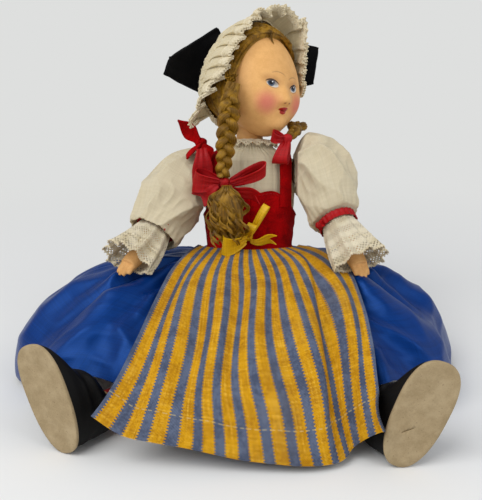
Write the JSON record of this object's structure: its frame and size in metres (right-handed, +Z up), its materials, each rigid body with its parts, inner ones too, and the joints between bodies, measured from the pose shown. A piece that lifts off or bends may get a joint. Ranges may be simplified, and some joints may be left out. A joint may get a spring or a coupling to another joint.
{
  "type": "felt doll",
  "caption": "Seated felt doll in folk dress with painted face, braids, frilled cap, full skirt and striped apron; neck, shoulders and hips turn.",
  "frame": {"origin": "middle of the flat seat, on the surface that the doll sits on", "axes": "+Z up, the doll faces -Y, its left hand is on +X"},
  "size_m": [0.2733, 0.2262, 0.2201],
  "materials": {
    "body_cotton": "matte",
    "fibre_disc": "matte",
    "cream_cotton": "matte",
    "lace": "matte",
    "red_felt": "matte",
    "white_cotton": "matte",
    "blue_satin": "satin",
    "striped_weave": "matte",
    "yellow_ribbon": "satin",
    "red_ribbon": "satin",
    "blond_mohair": "satin",
    "painted_felt": "matte",
    "peg_wood": "matte",
    "black_felt": "matte",
    "pin_wire": "satin",
    "red_stocking": "matte",
    "sole_card": "matte"
  },
  "bodies": {
    "torso": {"torso": "body_cotton", "shoulder_discs": "fibre_disc", "hip_discs": "fibre_disc", "blouse": "cream_cotton", "collar_frill": "lace", "bodice": "red_felt", "strap_right": "red_felt", "strap_left": "red_felt", "petticoat": "white_cotton", "skirt": "blue_satin", "apron": "striped_weave", "bodice_bow": "yellow_ribbon", "braid_bow_right": "red_ribbon", "braid_bow_left": "red_ribbon", "braid_curls": "blond_mohair"},
    "head": {"head": "painted_felt", "neck_peg": "peg_wood", "hair": "blond_mohair", "braid_right": "blond_mohair", "braid_left": "blond_mohair", "cap": "cream_cotton", "cap_frill": "lace", "wing_right": "black_felt", "wing_left": "black_felt", "wing_knot": "black_felt"},
    "arm_right": {"arm_right": "painted_felt", "arm_disc_right": "fibre_disc", "shoulder_pin_right": "pin_wire", "sleeve_right": "cream_cotton", "sleeve_ribbon_right": "red_ribbon", "cuff_frill_right": "lace"},
    "arm_left": {"arm_left": "painted_felt", "arm_disc_left": "fibre_disc", "shoulder_pin_left": "pin_wire", "sleeve_left": "cream_cotton", "sleeve_ribbon_left": "red_ribbon", "cuff_frill_left": "lace"},
    "leg_right": {"leg_right": "red_stocking", "hip_pin_right": "pin_wire", "shoe_upper_right": "black_felt", "shoe_sole_right": "sole_card"},
    "leg_left": {"leg_left": "red_stocking", "hip_pin_left": "pin_wire", "shoe_upper_left": "black_felt", "shoe_sole_left": "sole_card"}
  },
  "joints": [
    {"name": "neck_swivel", "type": "hinge", "parent": "torso", "child": "head", "pos_m": [0, 0.03698, 0.138], "axis": [0, 0.2588, 0.9659], "range_deg": [-50, 15], "deforming": ["braid_right", "braid_left"]},
    {"name": "shoulder_right", "type": "hinge", "parent": "torso", "child": "arm_right", "pos_m": [-0.0308, 0.03215, 0.12], "axis": [-1, 0, 0], "range_deg": [0, 75]},
    {"name": "shoulder_left", "type": "hinge", "parent": "torso", "child": "arm_left", "pos_m": [0.0308, 0.03215, 0.12], "axis": [-1, 0, 0], "range_deg": [0, 75]},
    {"name": "hip_splay_right", "type": "hinge", "parent": "torso", "child": "leg_right", "pos_m": [-0.019, -0.008, 0], "axis": [0, 0, 1], "range_deg": [-8, 8], "deforming": ["skirt", "petticoat", "apron"]},
    {"name": "hip_splay_left", "type": "hinge", "parent": "torso", "child": "leg_left", "pos_m": [0.019, -0.008, 0], "axis": [0, 0, 1], "range_deg": [-8, 8], "deforming": ["skirt", "petticoat", "apron"]}
  ]
}
